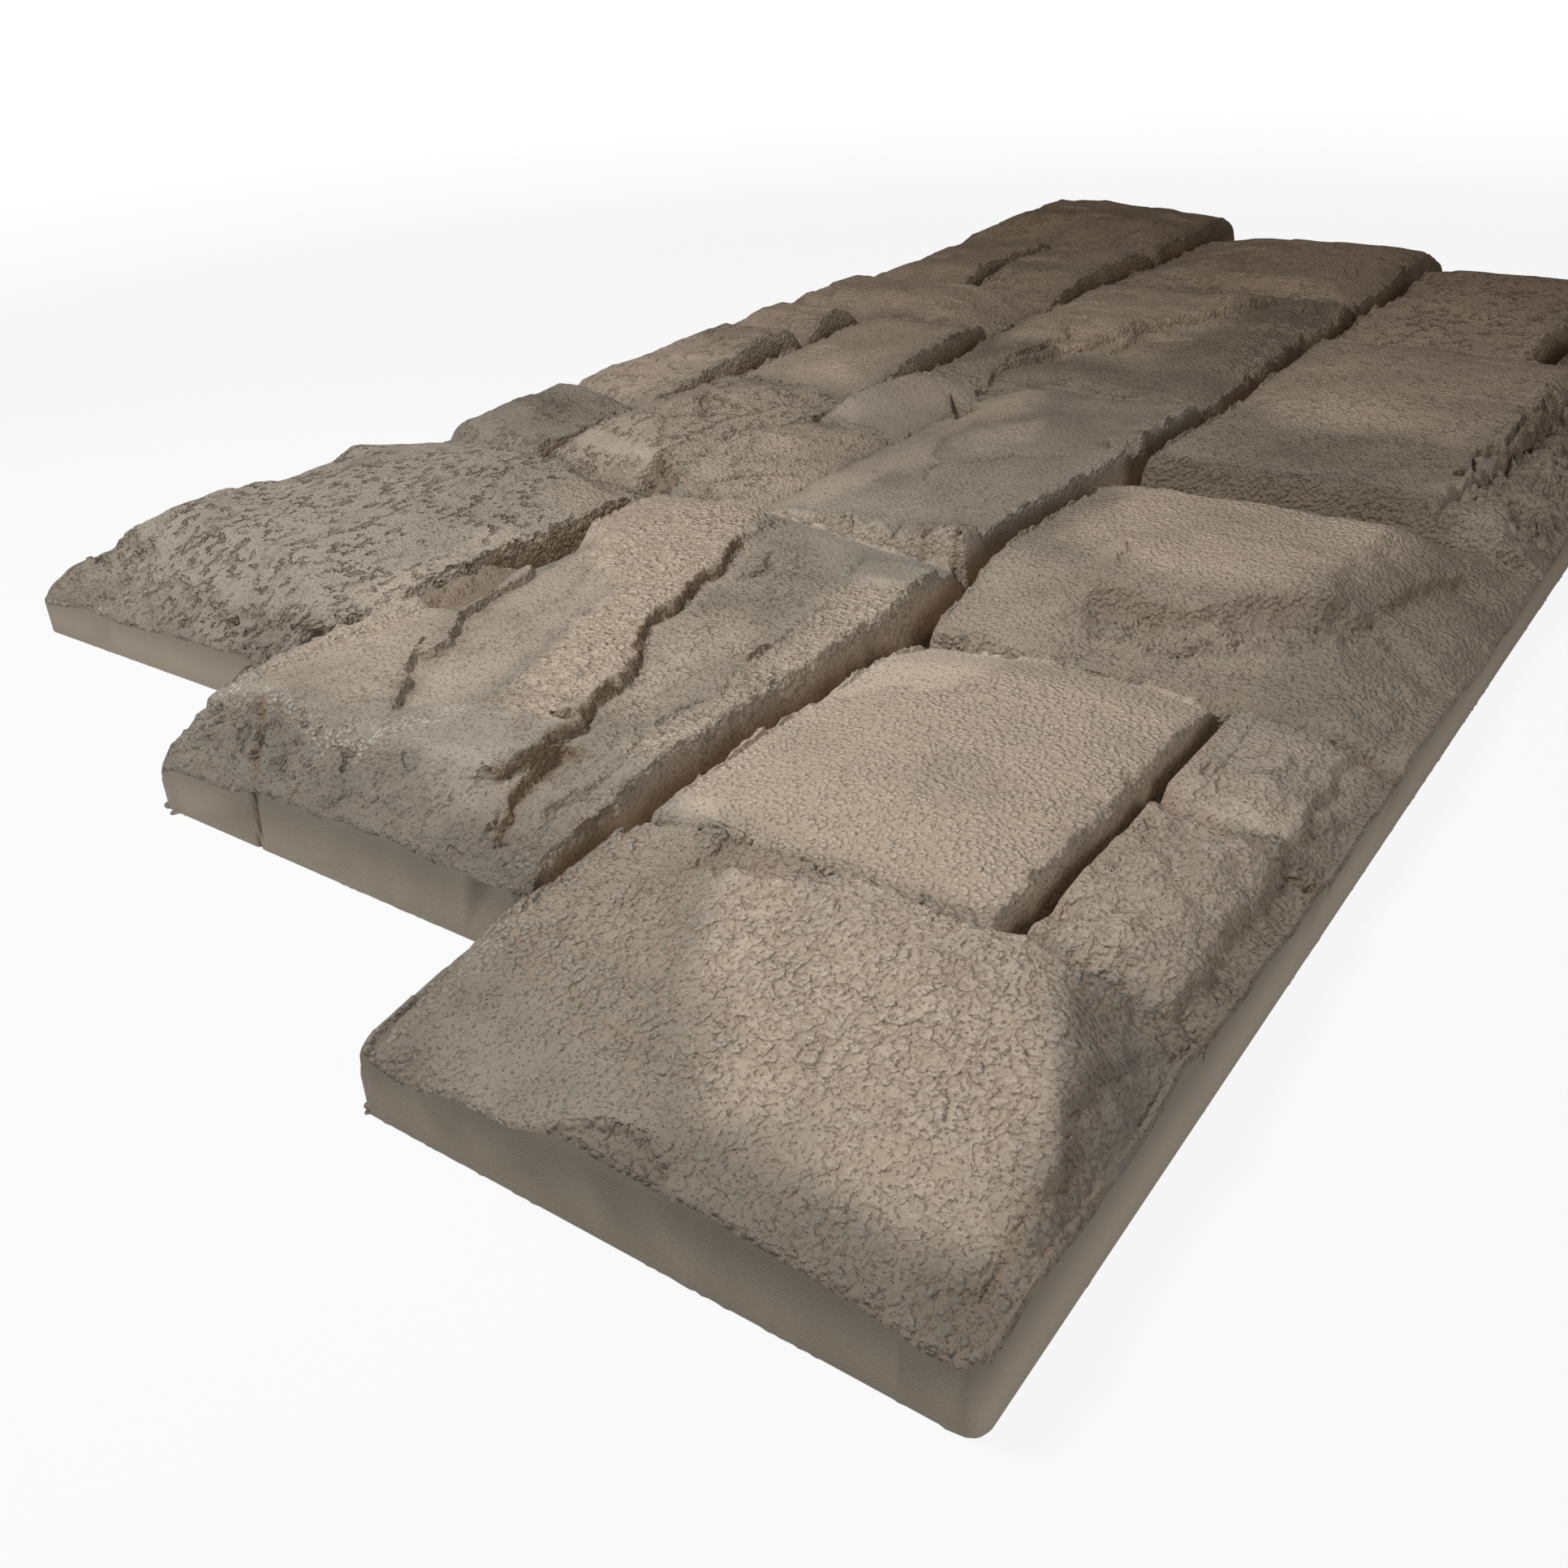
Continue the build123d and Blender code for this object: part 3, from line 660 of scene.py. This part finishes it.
# Each vertex carries the paint's masks, read from the grid where it lies, and each face knows if it is rim
place = np.empty(len(mesh.vertices) * 3)
mesh.vertices.foreach_get("co", place)
place = (place.reshape(-1, 3) - np.array((solid_low.x, solid_low.y, 0.0))) / MILLIMETRE
column = np.clip(place[:, 0] / GRID, 0, len(along) - 1.001)
row = np.clip(place[:, 1] / GRID, 0, len(across) - 1.001)
i, j = row.astype(int), column.astype(int)
p, q = row - i, column - j


def at_vertices(field):
    return ((1 - p) * ((1 - q) * field[i, j] + q * field[i, j + 1])
            + p * ((1 - q) * field[i + 1, j] + q * field[i + 1, j + 1]))


low_down = place[:, 2] < at_vertices(height) - 0.8
cracked = np.clip(1 - np.abs(place[:, 1] - np.interp(place[:, 2], (0, 25), CRACK[::-1])) / 2.4, 0, 1) * (
    np.abs(place[:, 0] - END_STEP - 1.2) < 1.1) * low_down
umber_and_shade_here = np.where(low_down & (at_vertices(from_edge) < 3), cracked, at_vertices(umber_and_shade))
for name, values in (
    ("tan", at_vertices(tan_wash)),
    ("umber_and_shade", umber_and_shade_here),
    ("chalk", at_vertices(chalk)),
    ("pebbles", at_vertices(pebbles)),
    ("grit", at_vertices(grit)),
    ("pits", at_vertices(pits)),
    ("shade", at_vertices(shade)),
    ("earth", at_vertices(earth)),
    ("far_shade_and_tint", at_vertices(far_shade_and_tint)),
    ("crags", at_vertices(crags)),
):
    mesh.attributes.new(name, "FLOAT", "POINT").data.foreach_set("value", values.astype(np.float32))
facing = np.empty(len(mesh.polygons) * 3)
mesh.polygons.foreach_get("normal", facing)
middle = np.empty(len(mesh.polygons) * 3)
mesh.polygons.foreach_get("center", middle)
middle = (middle.reshape(-1, 3) - np.array((solid_low.x, solid_low.y, 0.0))) / MILLIMETRE
row = np.clip(np.rint(middle[:, 1] / GRID), 0, len(across) - 1).astype(int)
column = np.clip(np.rint(middle[:, 0] / GRID), 0, len(along) - 1).astype(int)
on_rim = (np.abs(facing.reshape(-1, 3)[:, 2]) < 0.5) & (from_edge[row, column] < 2.6) & (
    middle[:, 2] < height[row, column] - 0.6)
mesh.attributes.new("rim", "FLOAT", "FACE").data.foreach_set("value", on_rim.astype(np.float32))


class Wire:
    """A socket of a material's nodes, so that shader maths reads as Python expressions."""

    tree = None

    def __init__(self, socket):
        self.socket = socket

    @classmethod
    def node(cls, kind, settings=None, values=None, out=0):
        made = cls.tree.nodes.new(kind)
        for name, value in (settings or {}).items():
            setattr(made, name, value)
        for name, value in (values or {}).items():
            if isinstance(value, Wire):
                cls.tree.links.new(value.socket, made.inputs[name])
            else:
                made.inputs[name].default_value = value
        return cls(made.outputs[out])

    @classmethod
    def maths(cls, operation, *values):
        return cls.node("ShaderNodeMath", {"operation": operation}, dict(enumerate(values)))

    def __add__(self, other):
        return self.maths("ADD", self, other)

    def __sub__(self, other):
        return self.maths("SUBTRACT", self, other)

    def __rsub__(self, other):
        return self.maths("SUBTRACT", other, self)

    def __mul__(self, other):
        return self.maths("MULTIPLY", self, other)

    __radd__, __rmul__ = __add__, __mul__

    def step(self, low, high):
        """0 below low, 1 above high and a smooth rise between them."""
        return self.node(
            "ShaderNodeMapRange",
            {"interpolation_type": "SMOOTHSTEP"},
            {"Value": self, "From Min": low, "From Max": high})

    def blend(self, under, over, way="MIX"):
        """The colour under, with this much of the colour over it."""
        settings = {"data_type": "RGBA", "blend_type": way}
        return self.node("ShaderNodeMix", settings, {0: self, 6: under, 7: over}, out=2)


# Matt mineral paint: warm grey all over, tan and brown washes, white dry brushing and the stones' grain,
# with painted shade in crevices, pits and crags, at the ledges' feet and towards the far end
GREY = (0.3, 0.268, 0.222, 1)
DARK_GREY = (0.165, 0.147, 0.122, 1)
TAN = (0.5, 0.412, 0.33, 1)
EARTH = (0.45, 0.345, 0.252, 1)
UMBER_AND_SHADE = (0.17, 0.118, 0.077, 1)
CREVICE_BROWN_AND_SHADE = (0.24, 0.165, 0.112, 1)
CHALK = (0.6, 0.57, 0.52, 1)
FAR_SHADE_AND_TINT = (0.68, 0.58, 0.49, 1)
RIM_SAND = (0.36, 0.308, 0.245, 1)
RIM_GREY = (0.2, 0.175, 0.14, 1)
paint = bpy.data.materials.new("stone_paint")
paint.use_nodes = True
Wire.tree = paint.node_tree
shader = paint.node_tree.nodes["Principled BSDF"]
place = Wire.node("ShaderNodeTexCoord", out="Object")


def mask(name):
    return Wire.node("ShaderNodeAttribute", {"attribute_name": name}, out="Fac")


def grain(where, scale, detail, roughness=0.5):
    return Wire.node("ShaderNodeTexNoise", {}, {
        "Vector": where, "Scale": scale, "Detail": detail, "Roughness": roughness}, out="Fac")


pull = Wire.node("ShaderNodeTexNoise", {}, {"Vector": place, "Scale": 130.0, "Detail": 2.0}, out="Color")
SWAY = (0.003, 0.003, 0.003)
swayed = Wire.node("ShaderNodeVectorMath", {"operation": "MULTIPLY_ADD"}, {0: pull, 1: SWAY, 2: place})


def bits(scale, low, high):
    """Rounded bits packed side by side: 1 on their crowns, 0 in the crevices."""
    apart = Wire.node("ShaderNodeTexVoronoi", {}, {"Vector": swayed, "Scale": scale}, out="Distance")
    return 1 - apart.step(low, high)


patchy = grain(place, 62.0, 2.0).step(0.36, 0.62)
dome = bits(270.0, 0.1, 0.78) * (0.4 + 0.6 * patchy) + bits(480.0, 0.1, 0.8) * 0.5
crevice_lines = 1 - Wire.maths("ABSOLUTE", grain(place, 95.0, 2.5, 0.6) - 0.5).step(0.003, 0.024)
gravel = bits(450.0, 0.1, 0.75)
crag = grain(place, 150.0, 5.0, 0.65)
sand = grain(place, 1600.0, 1.0)
drawn = Wire.node("ShaderNodeMapping", {}, {"Vector": place, "Scale": (0.65, 1.0, 1.0)})
hole = grain(drawn, 215.0, 3.0, 0.6).step(0.53, 0.6) * (0.15 + 0.85 * patchy)
speck = grain(place, 820.0, 1.0).step(0.63, 0.71)
rim, pebbled, gritty, pitted, craggy = (mask(name) for name in ("rim", "pebbles", "grit", "pits", "crags"))
bare = 1 - rim
colour = mask("shade").blend(DARK_GREY, GREY)
colour = mask("tan").blend(colour, TAN)
# The crevices between pebbles and the thin crevice lines are painted brown and darker: brown wash, and
# painted shade that the bump cannot cast
colour = (pebbled * (1 - dome.step(0.15, 0.7)) * 0.32).blend(colour, CREVICE_BROWN_AND_SHADE)
colour = (pebbled * crevice_lines * 0.3).blend(colour, CREVICE_BROWN_AND_SHADE)
colour = (pebbled * dome.step(0.9, 1.4) * 0.15).blend(colour, CHALK)
# Painted shade in the low parts of the crags' rough ground
colour = (craggy * (1 - crag.step(0.36, 0.56)) * 0.3).blend(colour, DARK_GREY)
# Painted brown and darker between the gravel's grains: brown wash, and painted shade that the bump cannot
# cast
colour = (gritty * (1 - gravel) * 0.4).blend(colour, CREVICE_BROWN_AND_SHADE)
colour = (bare * speck * 0.5).blend(colour, UMBER_AND_SHADE)
# The pits are painted dark umber, partly as painted shade in them
colour = (pitted * hole * 0.7).blend(colour, UMBER_AND_SHADE)
colour = (mask("chalk") * gravel.step(0.4, 0.8)).blend(colour, CHALK)
colour = mask("earth").blend(colour, EARTH)
up = Wire.node("ShaderNodeSeparateXYZ", {}, {"Vector": place}, out="Z").step(0.004, 0.026)
colour = rim.blend(colour, up.blend(RIM_SAND, RIM_GREY))
# Brown in the joints, cracks and hollows, with painted shade at the ledges' feet and on the layered stone's
# walls
colour = mask("umber_and_shade").blend(colour, UMBER_AND_SHADE)
# Painted shade and a browner tint, deepening towards the far end
colour = mask("far_shade_and_tint").blend(colour, FAR_SHADE_AND_TINT, "MULTIPLY")
colour = (sand.step(0.58, 0.75) * 0.3).blend(colour, DARK_GREY)
paint.node_tree.links.new(colour.socket, shader.inputs["Base Color"])
shader.inputs["Roughness"].default_value = 0.9
shader.inputs["Specular IOR Level"].default_value = 0.2
relief = bare * (pebbled * (dome * 1.1 - crevice_lines * 0.3) + (0.15 + 0.85 * gritty) * gravel * 0.75 - speck * 0.4)
relief = relief + bare * ((0.08 + 0.92 * craggy) * crag * 2.6 - pitted * hole * 2.6)
relief = relief + sand * 0.12
GRAIN_DEPTH = 0.0012
bump = Wire.node("ShaderNodeBump", {}, {
    "Strength": 1.0, "Distance": GRAIN_DEPTH, "Height": relief}, out="Normal")
paint.node_tree.links.new(bump.socket, shader.inputs["Normal"])
mesh.materials.clear()
mesh.materials.append(paint)
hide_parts("stone_panel")
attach(skin, "root")

# Floor: a plain pale studio sheet under the panel, kept bright where the camera sees it
FLOOR_SIDE = 14.0
FLOOR_PALE = (0.5, 0.5, 0.5, 1)
floor_mesh = bpy.data.meshes.new("floor")
half = FLOOR_SIDE / 2
floor_corners = [(-half, -half, 0), (half, -half, 0), (half, half, 0), (-half, half, 0)]
floor_mesh.from_pydata(floor_corners, [], [(0, 1, 2, 3)])
floor = bpy.data.objects.new("floor", floor_mesh)
floor.location.z = -0.0003
bpy.context.scene.collection.objects.link(floor)
floor_paint = bpy.data.materials.new("floor")
floor_paint.use_nodes = True
Wire.tree = floor_paint.node_tree
nodes = floor_paint.node_tree.nodes
nodes["Principled BSDF"].inputs["Base Color"].default_value = FLOOR_PALE
nodes["Principled BSDF"].inputs["Roughness"].default_value = 0.9
glow = Wire.node("ShaderNodeEmission", {}, {"Color": (1, 1, 1, 1), "Strength": 1.0})
seen = Wire.node("ShaderNodeLightPath", out="Is Camera Ray")
middle = Wire.node("ShaderNodeTexCoord", out="Object")
spread = Wire.node("ShaderNodeVectorMath", {"operation": "LENGTH"}, {0: middle}, out="Value")
mixed = Wire.node("ShaderNodeMixShader", {}, {
    0: seen * (0.9 + 0.1 * spread.step(0.7, 1.8)), 1: Wire(nodes["Principled BSDF"].outputs[0]), 2: glow})
floor_paint.node_tree.links.new(mixed.socket, nodes["Material Output"].inputs["Surface"])
floor_mesh.materials.append(floor_paint)

# Light: one soft lamp over the panel's near end, a weak fill from its lower side, and an even pale surround
scene = bpy.context.scene
scene.view_settings.view_transform = "Standard"
LAMP_PLACE = Vector((-0.67, 0.2, 0.8))
LAMP_AIM = Vector((-0.2, 0.0, 0.0))
FILL_PLACE = Vector((-0.6, -1.2, 0.4))
for name, spot, size, energy in (("lamp", LAMP_PLACE, 0.3, 8.2), ("fill", FILL_PLACE, 0.8, 4.5)):
    lamp = bpy.data.objects.new(name, bpy.data.lights.new(name, "AREA"))
    lamp.data.shape = "DISK"
    lamp.data.size = size
    lamp.data.energy = energy
    lamp.location = spot
    lamp.rotation_euler = (LAMP_AIM - spot).to_track_quat("-Z", "Y").to_euler()
    scene.collection.objects.link(lamp)
surround = bpy.data.worlds.new("surround")
surround.use_nodes = True
Wire.tree = surround.node_tree
background = surround.node_tree.nodes["Background"]
seen = Wire.node("ShaderNodeLightPath", out="Is Camera Ray")
SURROUND_LIGHT = (0.16, 0.16, 0.16, 1)
SURROUND_SEEN = (1, 1, 1, 1)
sky = seen.blend(SURROUND_LIGHT, SURROUND_SEEN)
surround.node_tree.links.new(sky.socket, background.inputs["Color"])
background.inputs["Strength"].default_value = 1.0
scene.world = surround

# Camera: held low before the panel's near end, a little rolled, looking along the courses
CAMERA_PLACE = (-0.794, -0.3999, 0.291)
CAMERA_ANGLES = (60.174, 2.425, -54.777)
CAMERA_LENS = 35.12
camera = bpy.data.objects.new("camera", bpy.data.cameras.new("camera"))
camera.location = CAMERA_PLACE
camera.rotation_euler = [math.radians(angle) for angle in CAMERA_ANGLES]
camera.data.lens = CAMERA_LENS
camera.data.clip_start = 0.01
scene.collection.objects.link(camera)
scene.camera = camera
